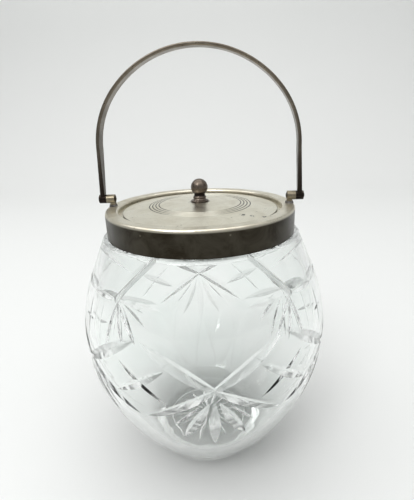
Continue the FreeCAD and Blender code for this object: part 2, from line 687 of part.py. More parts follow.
# The knob: foot, hollow, bead, waist and ball
ball_foot = "(ball_height - sqrt(ball_radius^2 - waist_top_radius^2))"
lid_knob = turned(
    "lid_knob",
    [
        (stud_hole, "0"),
        ("knob_foot_radius - knob_foot_edge", "0", "left", "knob_foot_edge"),
        ("knob_foot_radius", "knob_foot_edge", "left", "knob_foot_edge"),
        ("knob_foot_radius - knob_foot_edge", "2*knob_foot_edge", "right", "cavetto_round"),
        ("bead_seat_radius", "bead_low", "left", "bead_round"),
        ("bead_seat_radius", "bead_high", "right", "waist_round"),
        ("waist_top_radius", ball_foot, "left", "ball_radius"),
        ("ball_radius", "ball_height", "left", "ball_radius"),
        ("0", "ball_height + ball_radius"),
        ("0", "stud_bore_depth"),
        (stud_hole, "stud_bore_depth"),
    ],
    shift=lid_top,
)

pieces = [glass_jar, rim_collar, collar_cement]
pieces += [lid_plate, lid_locating_ring, knob_washer, knob_nut, knob_stud, lid_knob]


def make_lug(label, way):
    """A short barrel on a foot that stands on the collar."""
    body = new_body(label)
    barrel_start = "barrel_inner" if way == RIGHT else "-(barrel_inner + barrel_length)"
    barrel_sketch = new_sketch(body, label + "_barrel_outline", "YZ_Plane", lift=barrel_start)
    circle(barrel_sketch, "0", hinge_axis, "barrel_radius")
    barrel = body.newObject("PartDesign::Pad", label + "_barrel")
    barrel.Profile = barrel_sketch
    barrel.setExpression("Length", bound("barrel_length"))
    foot_sketch = new_sketch(body, label + "_foot_outline", "XY_Plane", lift="jar_height")
    middle = f"({way}*lug_foot_middle)"
    low, high = f"{middle} - lug_foot_length/2", f"{middle} + lug_foot_length/2"
    front, back = "-lug_foot_width/2", "lug_foot_width/2"
    draw(foot_sketch, [(low, front), (high, front), (high, back), (low, back)])
    foot = body.newObject("PartDesign::Pad", label + "_foot")
    foot.Profile = foot_sketch
    foot.setExpression("Length", bound("hinge_height"))
    bore_sketch = new_sketch(body, label + "_bore_outline", "YZ_Plane", lift=barrel_start)
    circle(bore_sketch, "0", hinge_axis, "(pin_radius + pin_fit)")
    bore = body.newObject("PartDesign::Pocket", label + "_bore")
    bore.Profile = bore_sketch
    bore.Reversed = True
    bore.setExpression("Length", bound("barrel_length"))
    return body


def make_solder(label, lug, way):
    """The bead of solder round a lug's foot, on the collar's top and its rounded edge."""
    bead = doc.addObject("Part::Cone", label + "_bead")
    bead.setExpression("Radius1", bound("solder_radius"))
    bead.setExpression("Radius2", bound("solder_top_radius"))
    bead.setExpression("Height", bound("solder_sink + solder_height"))
    bead.setExpression("Placement.Base.x", bound(f"{way}*lug_foot_middle"))
    bead.setExpression("Placement.Base.z", bound("jar_height - solder_sink"))
    around_lug = doc.addObject("Part::Cut", label + "_around_lug")
    around_lug.Base = bead
    around_lug.Tool = lug
    solder = doc.addObject("Part::Cut", label)
    solder.Base = around_lug
    solder.Tool = rim_collar
    return solder


def make_rivet(label, way):
    """A rivet through a lug and an eye, with a domed head inside and a low one outside."""
    inner = f"({way}*barrel_inner)"
    outer = f"({way}*({eye_outer} + rivet_play))"
    inner_end = f"({way}*(barrel_inner - rivet_head_height))"
    outer_end = f"({way}*({eye_outer} + rivet_play + rivet_tail_height))"
    turn = "right" if way == RIGHT else "left"
    head_arc = "(rivet_head_height^2 + rivet_head_radius^2)/(2*rivet_head_height)"
    tail_arc = "(rivet_tail_height^2 + rivet_tail_radius^2)/(2*rivet_tail_height)"
    return turned(
        label,
        [
            (inner_end, "0", turn, head_arc),
            (inner, "rivet_head_radius"),
            (inner, "pin_radius"),
            (outer, "pin_radius"),
            (outer, "rivet_tail_radius", turn, tail_arc),
            (outer_end, "0"),
        ],
        axis="H_Axis",
        shift=hinge_axis,
    )


for side_name, way in (("left", LEFT), ("right", RIGHT)):
    lug = make_lug(f"lug_{side_name}", way)
    pieces += [lug, make_solder(f"solder_{side_name}", lug, way), make_rivet(f"pivot_rivet_{side_name}", way)]

# The bail: a strip swept along its arch, lofted down its legs to an eye at each end
crown_middle = "(jar_height + bail_height - crown_arc)"
side_arc = "((bail_half_width - crown_arc*cos(crown_end_angle))/(1 - cos(crown_end_angle)))"
crown_end_x = "(crown_arc*cos(crown_end_angle))"
crown_end_z = f"({crown_middle} + crown_arc*sin(crown_end_angle))"
leg_top = f"({crown_middle} + (crown_arc - {side_arc})*sin(crown_end_angle))"
leg_foot = f"({hinge_axis} + leg_end_rise)"

bail_handle = new_body("bail_handle")
arch_path = new_sketch(bail_handle, "arch_path", "XZ_Plane")
draw(
    arch_path,
    [
        ("bail_half_width", leg_top, "left", side_arc),
        (crown_end_x, crown_end_z, "left", "crown_arc"),
        ("0", "jar_height + bail_height", "left", "crown_arc"),
        (f"-{crown_end_x}", crown_end_z, "left", side_arc),
        ("-bail_half_width", leg_top),
    ],
    closed=False,
)
strip = new_sketch(bail_handle, "strip_outline", "XY_Plane", lift=leg_top)
rounded_rectangle(strip, "bail_half_width", "0", "strip_metal", "strip_width", "strip_round")
doc.recompute()
arch = bail_handle.newObject("PartDesign::AdditivePipe", "arch")
arch.Profile = strip
arch.Spine = (arch_path, [f"Edge{number + 1}" for number in range(arch_path.GeometryCount)])
for side_name, way in (("left", LEFT), ("right", RIGHT)):
    upper = new_sketch(bail_handle, f"leg_top_{side_name}", "XY_Plane", lift=leg_top)
    rounded_rectangle(upper, f"{way}*bail_half_width", "0", "strip_metal", "strip_width", "strip_round")
    lower = new_sketch(bail_handle, f"leg_foot_{side_name}", "XY_Plane", lift=leg_foot)
    eye_middle = f"({way}*({eye_inner} + eye_length/2))"
    rounded_rectangle(lower, eye_middle, "0", "leg_end_metal", "leg_end_width", "strip_round")
    leg = bail_handle.newObject("PartDesign::AdditiveLoft", f"leg_{side_name}")
    leg.Profile = upper
    leg.Sections = [lower]
    leg.Ruled = True
    eye_start = eye_inner if way == RIGHT else f"-{eye_outer}"
    eye_sketch = new_sketch(bail_handle, f"eye_outline_{side_name}", "YZ_Plane", lift=eye_start)
    circle(eye_sketch, "0", hinge_axis, "eye_radius")
    eye = bail_handle.newObject("PartDesign::Pad", f"eye_{side_name}")
    eye.Profile = eye_sketch
    eye.setExpression("Length", bound("eye_length"))
    hole_sketch = new_sketch(bail_handle, f"eye_hole_outline_{side_name}", "YZ_Plane", lift=eye_start)
    circle(hole_sketch, "0", hinge_axis, "(pin_radius + pin_fit)")
    hole = bail_handle.newObject("PartDesign::Pocket", f"eye_hole_{side_name}")
    hole.Profile = hole_sketch
    hole.Reversed = True
    hole.setExpression("Length", bound("eye_length"))
pieces.append(bail_handle)

doc.recompute()
failed = [item.Label for item in doc.Objects if {"Invalid", "Error"} & set(item.State)]
for piece in pieces:
    if piece.Shape.isNull() or not piece.Shape.isValid() or not piece.Shape.Solids:
        failed.append(piece.Label)
if failed:
    raise RuntimeError(f"these objects failed: {failed}")
os.makedirs("parts", exist_ok=True)
for piece in pieces:
    piece.Shape.exportStep(f"parts/{piece.Label}.step")
    print(f"{piece.Label}: {len(piece.Shape.Solids)} solid, {piece.Shape.Volume:.1f} mm3")
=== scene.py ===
import json
import math

import bmesh
import bpy
from bpy.props import FloatProperty, FloatVectorProperty, IntProperty, PointerProperty
from bpy.types import Operator, Panel, PropertyGroup
from mathutils import Matrix, Vector

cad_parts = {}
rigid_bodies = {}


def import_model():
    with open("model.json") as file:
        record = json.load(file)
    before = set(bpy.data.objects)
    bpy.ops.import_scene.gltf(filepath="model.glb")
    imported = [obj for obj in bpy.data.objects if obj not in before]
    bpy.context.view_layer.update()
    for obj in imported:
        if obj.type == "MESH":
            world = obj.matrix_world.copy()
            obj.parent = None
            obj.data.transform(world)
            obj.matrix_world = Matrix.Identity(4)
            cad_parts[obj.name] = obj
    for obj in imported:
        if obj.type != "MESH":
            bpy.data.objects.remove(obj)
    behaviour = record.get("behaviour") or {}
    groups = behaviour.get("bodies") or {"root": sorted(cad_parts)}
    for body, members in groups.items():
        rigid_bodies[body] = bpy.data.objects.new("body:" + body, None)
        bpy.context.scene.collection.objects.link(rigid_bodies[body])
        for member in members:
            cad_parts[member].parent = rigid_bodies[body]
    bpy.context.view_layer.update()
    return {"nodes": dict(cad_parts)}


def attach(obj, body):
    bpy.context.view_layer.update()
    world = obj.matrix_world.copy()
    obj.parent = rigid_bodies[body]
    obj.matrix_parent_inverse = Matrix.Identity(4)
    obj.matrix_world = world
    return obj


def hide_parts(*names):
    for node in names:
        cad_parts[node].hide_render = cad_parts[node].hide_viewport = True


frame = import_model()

bl_info = {
    "name": "Biscuit jar",
    "version": (1, 0, 0),
    "blender": (4, 5, 0),
    "location": "View3D > Sidebar > Biscuit jar",
    "description": "Dresses the packed biscuit jar: cut glass, worn silver plate, and a small studio",
    "category": "Object",
}

MM = 0.001

# The glass, in millimetres and degrees
JAR_HEIGHT = 170.0
BELLY_RADIUS, BELLY_HEIGHT, BELLY_ARC = 78.4, 92.5, 98.0
SHOULDER_ANGLE, HIP_ANGLE, BASE_ANGLE = 23.0, 20.0, 38.0
HIP_ARC, FOOT_ROUND, SHOULDER_ROUND = 155.0, 2.5, 3.0
FOOT_RING_INNER, RECESS_DEPTH = 29.5, 0.8
GLASS_WALL, FLOOR_THICKNESS = 5.6, 11.0
NECK_RADIUS, RIM_DROP, LEDGE_GAP, COLLAR_HEIGHT = 55.4, 4.8, 0.3, 15.1
RIM_TOP = JAR_HEIGHT - RIM_DROP
LEDGE = JAR_HEIGHT - COLLAR_HEIGHT - LEDGE_GAP

# The cutting, in millimetres and degrees: a cut is (width, depth)
PATTERN_TURN, WINDOW_TURN, WINDOWS = 7.7, -2.8, 3
CROSS_HEIGHT, CREST_HEIGHT, TROUGH_HEIGHT, POINT_GAP = 92.0, 116.0, 70.0, 1.0
CROSS_OVERRUN, UPPER_CUT, LOWER_CUT = 4.0, (7.6, 2.2), (5.6, 1.6)
CELL_HEIGHT, CELL_RISE, CELL_SPREAD = 92.4, 10.3, 11.6
FINE_CUT_SPREAD, FINE_CUT_OUTER_SPREAD = 11.8, 9.0
LEAF, CELL_FINE, FINE, PETAL = (5.6, 1.6), (2.6, 0.9), (1.9, 0.7), (6.2, 1.8)
FAN_START, FAN_FINE_START, FAN_MID = 85.0, 83.0, 48.5
FAN_SIDE_START, FAN_SIDE, FAN_OUTER_START, FAN_OUTER = 1.7, (13.6, 56.5), 5.5, (16.4, 68.0)
NODE = (39.5, 132.2)
ARM_END, ARM_BOW, ARM = (23.3, 152.0), (1.0, 1.5), (4.6, 1.3)
RAY_ENDS = ((44.0, 106.0), (34.6, 110.5), (27.7, 113.0))
SIDE_LEAF_HEIGHT, SIDE_LEAF_REACH, SIDE_LEAF = 131.0, 20.5, (3.6, 1.0)
FAINT_LEAF_REACH, FAINT_LEAF = 22.0, (3.6, 0.6)
POST_TOP, POST_BOTTOM, BAR_HEIGHT, BAR_SPREAD = 128.0, 104.0, 116.0, 4.5
ARCH_MIDDLE, ARCH_END, ARCH_SPREAD, ARCH = 151.2, 146.6, 27.0, (3.2, 0.8)
STAR_RAYS, STAR_INNER, STAR_OUTER, STAR_RAY = 16, 4.6, 27.0, (3.0, 1.3)
WHEEL_STEPS = 36  # facets along a cut
WHEEL_MARGIN, WHEEL_STRAIGHTEST, WHEEL_OVERRUN = 1.0, 0.05, 1.15

# Marks on the glass and the metal, and painted shade on the metal, in millimetres: radii are from the
# jar's axis, heights from the table
GROUND_FOOT, GROUND_ROUGHNESS = (0.4, 3.0), 0.22
LINE_RADIUS, LINE_PITCH, LINE_COUNT = 25.4, 1.95, 4.0
LINE_WORN, LINE_WHOLE = 6.0, 24.0  # distances from the middle plane between which the turned lines fade
# Painted shade on the lid: along its edge in the collar's well, and round the knob's foot
LID_EDGE_SHADE = (47.2, 47.6)
KNOB_FOOT_SHADE = (5.4, 6.8)
LID_KNOCKS = ((26.0, -27.0, 2.2), (31.0, -27.5, 1.5), (38.0, -27.0, 2.0))  # x, y and reach
# The painted shade on the collar's band fades out between these heights, below the lit top
BAND_SHADE_TOP = (JAR_HEIGHT - 2.2, JAR_HEIGHT - 0.6)
LEG_FOOT, LEG_LENGTH = 176.0, 28.0
LEG_HALF_WIDTH, LEG_WIDENING = 2.3, 2.0
EDGE_REACH, FOOT_REACH = 60.0, 75.0  # how far up a leg its two painted shades go: along the edges, and up from the foot
KNOB_NECK_SHADOW = ((174.8, 176.0), (176.8, 179.6))  # where the painted shadow under the knob's ball begins and ends

# Shading
SHARP_ANGLE, METAL_SHARP_ANGLE = math.radians(24), math.radians(32)
GLASS_EVENNESS, METAL_EVENNESS = 50, 100  # how much large faces lead the normals
WELD_GAP = 0.002 * MM
KNOB_ROUGHNESS, LUG_ROUGHNESS, RIVET_ROUGHNESS, BAIL_ROUGHNESS = 0.24, 0.34, 0.38, 0.3
LID_TARNISH = 0.35
CEMENT_STAIN = (0.5, 0.46, 0.38, 1)
SOLDER, SOLDER_BLOOM = (0.24, 0.23, 0.22, 1), (0.08, 0.075, 0.07, 1)
STEEL, STEEL_STAIN = (0.55, 0.54, 0.52, 1), (0.3, 0.25, 0.2, 1)

# The stage, in metres and radians
SWEEP = {"depth_front": 8.0, "depth_back": 0.9, "half_width": 8.0, "bend": 0.6, "height": 4.0}
BEND_STEPS = 24
SWEEP_DROP = 0.2 * MM
KEY_PLACE, KEY_AIM, KEY_SIZE = (-0.25, -0.1, 1.4), (0, 0, 0.1), 2.2
SPOT_PLACE, SPOT_AIM, SPOT_SIZE = (-0.5, -0.9, 1.3), (0, 0, 0.15), 0.45
OVERHEAD = 0.9  # upward part of a direction that gets all of the light from above
CAMERA_POINT = Vector((0.02108, -0.23207, 0.2208))
CAMERA_HEADING, CAMERA_PITCH, CAMERA_ROLL = -0.0762, 0.3354, -0.0362


# Materials

class Graph:
    """Builds a material's nodes: each call adds a node and returns its output."""

    def __init__(self, name):
        self.material = bpy.data.materials.new(name)
        self.material.use_nodes = True
        self.nodes = self.material.node_tree.nodes
        self.links = self.material.node_tree.links
        self.shader = self.nodes["Principled BSDF"]

    def add(self, kind, out=0, inputs=None, **values):
        node = self.nodes.new(kind)
        for key, value in values.items():
            setattr(node, key, value)
        for key, value in (inputs or {}).items():
            self.feed(node.inputs[key], value)
        return node.outputs[out]

    def feed(self, socket, value):
        if isinstance(value, bpy.types.NodeSocket):
            self.links.new(value, socket)
        else:
            socket.default_value = value

    def set(self, **values):
        for key, value in values.items():
            self.feed(self.shader.inputs[key.replace("_", " ")], value)

    def math(self, operation, *values, clamp=False):
        inputs = dict(enumerate(values))
        return self.add("ShaderNodeMath", inputs=inputs, operation=operation, use_clamp=clamp)

    def place(self):
        """The point in the frame of the whole jar, in millimetres."""
        point = self.add("ShaderNodeTexCoord", out="Object")
        return self.add("ShaderNodeVectorMath", inputs={0: point, 3: 1 / MM}, operation="SCALE")

    def parts(self, place):
        node = self.nodes.new("ShaderNodeSeparateXYZ")
        self.links.new(place, node.inputs[0])
        return node.outputs

    def turned(self, place):
        """The point as radius and height, for marks that a lathe leaves."""
        x, y, z = self.parts(place)
        square = self.math("ADD", self.math("MULTIPLY", x, x), self.math("MULTIPLY", y, y))
        return self.math("SQRT", square), z

    def near(self, place, spot, reach):
        """One within half of reach of a spot, in millimetres, and nothing beyond reach."""
        ends = {0: place, 1: spot}
        distance = self.add("ShaderNodeVectorMath", out=1, inputs=ends, operation="DISTANCE")
        return self.span(distance, reach / 2, reach, 1.0, 0.0)

    def join(self, x, y, z):
        return self.add("ShaderNodeCombineXYZ", inputs={0: x, 1: y, 2: z})

    def stretch(self, place, scale, turn=(0, 0, 0)):
        return self.add("ShaderNodeMapping", inputs={0: place, "Scale": scale, "Rotation": turn})

    def noise(self, place, scale, detail=3.0, roughness=0.55, distortion=0.0):
        inputs = {
            "Vector": place,
            "Scale": scale,
            "Detail": detail,
            "Roughness": roughness,
            "Distortion": distortion,
        }
        return self.add("ShaderNodeTexNoise", inputs=inputs)

    def spots(self, place, scale, randomness=1.0):
        inputs = {"Vector": place, "Scale": scale, "Randomness": randomness}
        return self.add("ShaderNodeTexVoronoi", inputs=inputs)

    def span(self, value, low, high, to_low=0.0, to_high=1.0):
        inputs = {"Value": value, "From Min": low, "From Max": high, "To Min": to_low, "To Max": to_high}
        return self.add("ShaderNodeMapRange", inputs=inputs, interpolation_type="SMOOTHSTEP")

    def blend(self, share, first, second):
        node = self.nodes.new("ShaderNodeMix")
        node.data_type = "RGBA"
        self.feed(node.inputs[0], share)
        self.feed(node.inputs[6], first)
        self.feed(node.inputs[7], second)
        return node.outputs[2]

    def relief(self, *layers):
        """Chained bumps, each (height, strength, depth in millimetres), into the shader's normal."""
        normal = None
        for height, strength, depth in layers:
            bump = self.nodes.new("ShaderNodeBump")
            self.feed(bump.inputs["Height"], height)
            bump.inputs["Strength"].default_value = strength
            bump.inputs["Distance"].default_value = depth * MM
            if normal is not None:
                self.links.new(normal, bump.inputs["Normal"])
            normal = bump.outputs[0]
        self.feed(self.shader.inputs["Normal"], normal)


def rgb(colour):
    return (*colour[:3], 1.0)


def glass_material(name, settings, polish):
    """Clear lead glass: the faint waviness of the blown form, a film of dust, and a ground foot."""
    graph = Graph(name)
    place = graph.place()
    slow = graph.noise(place, 0.035, 2.0)
    fine = graph.noise(place, 0.5, 4.0)
    smears = graph.noise(graph.stretch(place, (0.05, 0.05, 0.25), (0.3, 0.2, 0.0)), 1.0, 5.0, 0.7)
    film = graph.span(smears, 0.55, 0.8, polish, polish + settings.film)
    height = graph.turned(place)[1]
    ground = graph.span(height, *GROUND_FOOT, GROUND_ROUGHNESS, 0.0)
    graph.set(
        Roughness=graph.math("ADD", film, ground),
        Base_Color=graph.blend(graph.span(slow, 0.3, 0.7), rgb(settings.tint), rgb(settings.tint_deep)),
    )
    graph.shader.inputs["Transmission Weight"].default_value = 1.0
    graph.shader.inputs["IOR"].default_value = settings.refraction
    graph.relief((slow, settings.waviness, 1.2), (fine, 0.05, 0.05))
    return graph.material


def plate_material(name, light, dark, wear, roughness, turned=True, tarnish=0.5, overlay=None,
                   deep=(0.03, 0.025, 0.02)):
    """Worn silver plate: turned or rubbed lines, tarnish in clouds, small pits, scratches, and base metal
    where it is rubbed. A function of the graph, the point, its radius and its height gives the share of
    the deep colour laid over the plate: painted shade, and on the lid real marks as well."""
    graph = Graph(name)
    place = graph.place()
    radius, height = graph.turned(place)
    if turned:
        lathe = graph.join(radius, 0.0, height)
        lines = graph.noise(graph.stretch(lathe, (6.0, 1.0, 5.0)), 1.0, 4.0, 0.8)
    else:
        lines = graph.noise(graph.stretch(place, (0.25, 5.0, 0.25)), 1.0, 4.0, 0.75)
    clouds = graph.noise(place, 0.07, 6.0, 0.62, 0.6)
    specks = graph.noise(place, 0.9, 5.0, 0.7)
    scratch_a = graph.noise(graph.stretch(place, (0.05, 2.2, 0.4), (0.2, 0.1, 0.7)), 1.0, 2.0, 0.5)
    scratch_b = graph.noise(graph.stretch(place, (0.06, 2.6, 0.5), (0.1, 0.3, -0.9)), 1.0, 2.0, 0.5)
    scratch_a, scratch_b = graph.span(scratch_a, 0.66, 0.72), graph.span(scratch_b, 0.67, 0.73)
    scratches = graph.math("MAXIMUM", scratch_a, scratch_b)
    pits = graph.span(graph.spots(place, 0.16), 0.0, 0.13, 1.0, 0.0)
    share = graph.math("MULTIPLY", graph.span(clouds, 0.38, 0.68), tarnish)
    body = graph.blend(share, rgb(light), rgb(dark))
    body = graph.blend(graph.math("MULTIPLY", graph.span(specks, 0.56, 0.72), 0.4), body, rgb(dark))
    body = graph.blend(graph.math("MULTIPLY", scratches, 0.35), body, rgb(wear))
    # The deep colour laid over the plate: painted shade, and on the lid the real turned lines and knocks
    # too
    if overlay:
        depth = overlay(graph, place, radius, height)
        depth = graph.math("MULTIPLY", depth, graph.span(clouds, 0.3, 0.7, 1.0, 0.94))
        body = graph.blend(depth, body, rgb(deep))
    body = graph.blend(graph.math("MULTIPLY", pits, 0.7), body, rgb([value * 0.4 for value in dark[:3]]))
    rough = graph.span(clouds, 0.3, 0.75, roughness - 0.06, roughness + 0.1)
    rough = graph.math("ADD", rough, graph.span(lines, 0.3, 0.7, -0.04, 0.06))
    graph.set(Base_Color=body, Roughness=rough)
    graph.shader.inputs["Metallic"].default_value = 1.0
    graph.relief(
        (lines, 0.22, 0.06), (clouds, 0.12, 0.8), (specks, 0.15, 0.06),
        (scratches, -0.25, 0.05), (pits, -0.5, 0.25),
    )
    return graph.material


def collar_band_painted_shade(graph, place, radius, height):
    """Painted dark reflection: the band below the rounded edge is darkened for the dark surroundings it
    faces, while the top stays light.
    """
    outside = graph.span(radius, NECK_RADIUS, NECK_RADIUS + 1.0)
    return graph.math("MULTIPLY", outside, graph.span(height, *BAND_SHADE_TOP, 1.0, 0.0))


def lid_marks_and_painted_shade(graph, place, radius, height):
    """The four turned lines and a few old knocks near the front, with painted shade along the edge and in
    the ring round the knob.
    """
    beyond = graph.math("SUBTRACT", radius, LINE_RADIUS - LINE_PITCH / 2)
    steps = graph.math("DIVIDE", beyond, LINE_PITCH)
    off_middle = graph.math("ABSOLUTE", graph.math("SUBTRACT", graph.math("FRACT", steps), 0.5))
    line = graph.span(off_middle, 0.10, 0.20, 1.0, 0.0)
    begun, ended = graph.math("GREATER_THAN", steps, 0.0), graph.math("LESS_THAN", steps, LINE_COUNT)
    within = graph.math("MULTIPLY", begun, ended)
    beside = graph.math("ABSOLUTE", graph.parts(place)[0])
    worn = graph.span(beside, LINE_WORN, LINE_WHOLE, 0.3, 1.0)
    marks = graph.math("MULTIPLY", graph.math("MULTIPLY", line, within), worn)
    # Painted shade along the lid's edge and round the knob's foot
    marks = graph.math("MAXIMUM", marks, graph.span(radius, *LID_EDGE_SHADE, 0.0, 0.8))
    marks = graph.math("MAXIMUM", marks, graph.span(radius, *KNOB_FOOT_SHADE, 0.7, 0.0))
    for x, y, reach in LID_KNOCKS:
        spot = graph.near(graph.stretch(place, (1.0, 1.0, 0.0)), (x, y, 0.0), reach)
        ragged = graph.span(graph.noise(place, 0.8, 3.0), 0.45, 0.55)
        marks = graph.math("MAXIMUM", marks, graph.math("MULTIPLY", spot, ragged))
    return marks


def bail_painted_shade(graph, place, radius, height):
    """Painted shade: the legs darken towards the eyes, and most along the strip's edges."""
    above = graph.math("SUBTRACT", height, LEG_FOOT)
    widening = graph.math("DIVIDE", above, LEG_LENGTH, clamp=True)
    half_width = graph.math("ADD", LEG_HALF_WIDTH, graph.math("MULTIPLY", widening, LEG_WIDENING))
    beside = graph.math("ABSOLUTE", graph.parts(place)[1])
    edge = graph.span(graph.math("DIVIDE", beside, half_width), 0.72, 0.88)
    edge = graph.math("MULTIPLY", edge, graph.span(above, 0.0, EDGE_REACH, 1.0, 0.15))
    leg, eye = graph.span(above, 0.0, FOOT_REACH, 0.78, 0.0), graph.span(above, -1.0, 4.0, 1.0, 0.0)
    return graph.math("MAXIMUM", edge, graph.math("MAXIMUM", leg, eye))


def knob_neck_painted_shadow(graph, place, radius, height):
    """Painted shadow: the neck under the ball, darkened as in the ball's shade."""
    begins, ends = KNOB_NECK_SHADOW
    neck = graph.math("MULTIPLY", graph.span(height, *begins), graph.span(height, *ends, 1.0, 0.0))
    return graph.math("MULTIPLY", neck, 0.9)


def cement_material(settings):
    """White plaster cement, stained a little."""
    graph = Graph("white cement")
    place = graph.place()
    grain = graph.noise(place, 0.8, 6.0, 0.7)
    stain = graph.noise(place, 0.12, 4.0)
    graph.set(
        Base_Color=graph.blend(graph.span(stain, 0.35, 0.7), rgb(settings.cement), CEMENT_STAIN),
        Roughness=graph.span(grain, 0.3, 0.7, 0.75, 0.95),
    )
    graph.relief((grain, 0.6, 0.3))
    return graph.material


def solder_material():
    """Grey solder, lumpy and dull."""
    graph = Graph("dull solder")
    place = graph.place()
    lumps = graph.noise(place, 0.9, 4.0, 0.6)
    bloom = graph.noise(place, 0.35, 5.0, 0.7)
    graph.set(
        Base_Color=graph.blend(graph.span(bloom, 0.4, 0.65), SOLDER, SOLDER_BLOOM),
        Roughness=graph.span(bloom, 0.3, 0.7, 0.4, 0.62),
    )
    graph.shader.inputs["Metallic"].default_value = 1.0
    graph.relief((lumps, 0.6, 0.4), (bloom, 0.2, 0.1))
    return graph.material


def steel_material():
    """Plain steel with the lines of the lathe."""
    graph = Graph("plain turned steel")
    place = graph.place()
    radius, height = graph.turned(place)
    lines = graph.noise(graph.stretch(graph.join(radius, 0.0, height), (8.0, 1.0, 8.0)), 1.0, 3.0, 0.7)
    stain = graph.noise(place, 0.4, 5.0, 0.6)
    graph.set(
        Base_Color=graph.blend(graph.span(stain, 0.4, 0.7), STEEL, STEEL_STAIN),
        Roughness=graph.span(lines, 0.3, 0.7, 0.28, 0.45),
    )
    graph.shader.inputs["Metallic"].default_value = 1.0
    graph.relief((lines, 0.3, 0.05))
    return graph.material


# Shapes

def dress(node, material):
    """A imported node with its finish, and smooth shading that keeps its edges."""
    piece = frame["nodes"][node]
    piece.data.materials.clear()
    piece.data.materials.append(material)
    weld = piece.modifiers.new("one skin", "WELD")
    weld.merge_threshold = WELD_GAP
    for polygon in piece.data.polygons:
        polygon.use_smooth = True
    edges = piece.modifiers.new("keep edges", "EDGE_SPLIT")
    edges.split_angle = METAL_SHARP_ANGLE
    normals = piece.modifiers.new("even shading", "WEIGHTED_NORMAL")
    normals.weight = METAL_EVENNESS


def at_angle(centre, radius, degrees):
    """The point of a circle at an angle, in (radius, height)."""
    angle = math.radians(degrees)
    return centre[0] + radius * math.cos(angle), centre[1] + radius * math.sin(angle)


def arc_points(centre, radius, start, end, step):
    """Points on an arc in (radius, height), from one angle to another in degrees."""
    count = max(2, round(abs(math.radians(end - start)) * radius / step))
    return [at_angle(centre, radius, start + (end - start) * index / count) for index in range(count + 1)]


BELLY_CENTRE = (BELLY_RADIUS - BELLY_ARC, BELLY_HEIGHT)
HIP_CENTRE = (
    BELLY_CENTRE[0] + (BELLY_ARC - HIP_ARC) * math.cos(math.radians(HIP_ANGLE)),
    BELLY_CENTRE[1] - (BELLY_ARC - HIP_ARC) * math.sin(math.radians(HIP_ANGLE)),
)
SHOULDER = at_angle(BELLY_CENTRE, BELLY_ARC, SHOULDER_ANGLE)
HIP = at_angle(BELLY_CENTRE, BELLY_ARC, -HIP_ANGLE)
BASE = at_angle(HIP_CENTRE, HIP_ARC, -BASE_ANGLE)


def glass_radius(height):
    """Outside radius of the glass at a height."""
    if height > SHOULDER[1]:
        return SHOULDER[0] - (height - SHOULDER[1]) * math.tan(math.radians(SHOULDER_ANGLE))
    if height > HIP[1]:
        return BELLY_CENTRE[0] + math.sqrt(BELLY_ARC ** 2 - (height - BELLY_CENTRE[1]) ** 2)
    if height > BASE[1]:
        return HIP_CENTRE[0] + math.sqrt(HIP_ARC ** 2 - (height - HIP_CENTRE[1]) ** 2)
    return BASE[0] - (BASE[1] - height) * math.tan(math.radians(BASE_ANGLE))


def glass_profile(step):
    """The glass in section, from the middle of its base out, up, over the rim and down to its floor."""
    lean, base = math.radians(SHOULDER_ANGLE), math.radians(BASE_ANGLE)
    foot_x = BASE[0] - BASE[1] * math.tan(base)
    foot_cut = FOOT_ROUND * math.tan((math.pi / 2 - base) / 2)
    edge_x = SHOULDER[0] - (LEDGE - SHOULDER[1]) * math.tan(lean)
    edge_cut = SHOULDER_ROUND * math.tan((math.pi / 2 - lean) / 2)
    inner_belly, inner_hip = BELLY_ARC - GLASS_WALL, HIP_ARC - GLASS_WALL
    inner_shoulder = at_angle(BELLY_CENTRE, inner_belly, SHOULDER_ANGLE)
    inner_base = at_angle(HIP_CENTRE, inner_hip, -BASE_ANGLE)
    floor_arc = (inner_base[1] - FLOOR_THICKNESS) / (1 - math.sin(base))
    floor_centre = (inner_base[0] - floor_arc * math.cos(base), FLOOR_THICKNESS + floor_arc)
    mouth_x = inner_shoulder[0] - (RIM_TOP - inner_shoulder[1]) * math.tan(lean)
    points = [(FOOT_RING_INNER - RECESS_DEPTH, RECESS_DEPTH), (FOOT_RING_INNER, 0)]
    points += arc_points((foot_x - foot_cut, FOOT_ROUND), FOOT_ROUND, -90, -BASE_ANGLE, step / 3)
    points += arc_points(HIP_CENTRE, HIP_ARC, -BASE_ANGLE, -HIP_ANGLE, step)
    points += arc_points(BELLY_CENTRE, BELLY_ARC, -HIP_ANGLE, SHOULDER_ANGLE, step)[1:]
    edge_centre = (edge_x - edge_cut, LEDGE - SHOULDER_ROUND)
    points += arc_points(edge_centre, SHOULDER_ROUND, SHOULDER_ANGLE, 90, step / 3)
    points += [(NECK_RADIUS, LEDGE), (NECK_RADIUS, RIM_TOP), (mouth_x, RIM_TOP)]
    points += arc_points(BELLY_CENTRE, inner_belly, SHOULDER_ANGLE, -HIP_ANGLE, step)
    points += arc_points(HIP_CENTRE, inner_hip, -HIP_ANGLE, -BASE_ANGLE, step)[1:]
    points += arc_points(floor_centre, floor_arc, -BASE_ANGLE, -90, step)[1:]
    return points


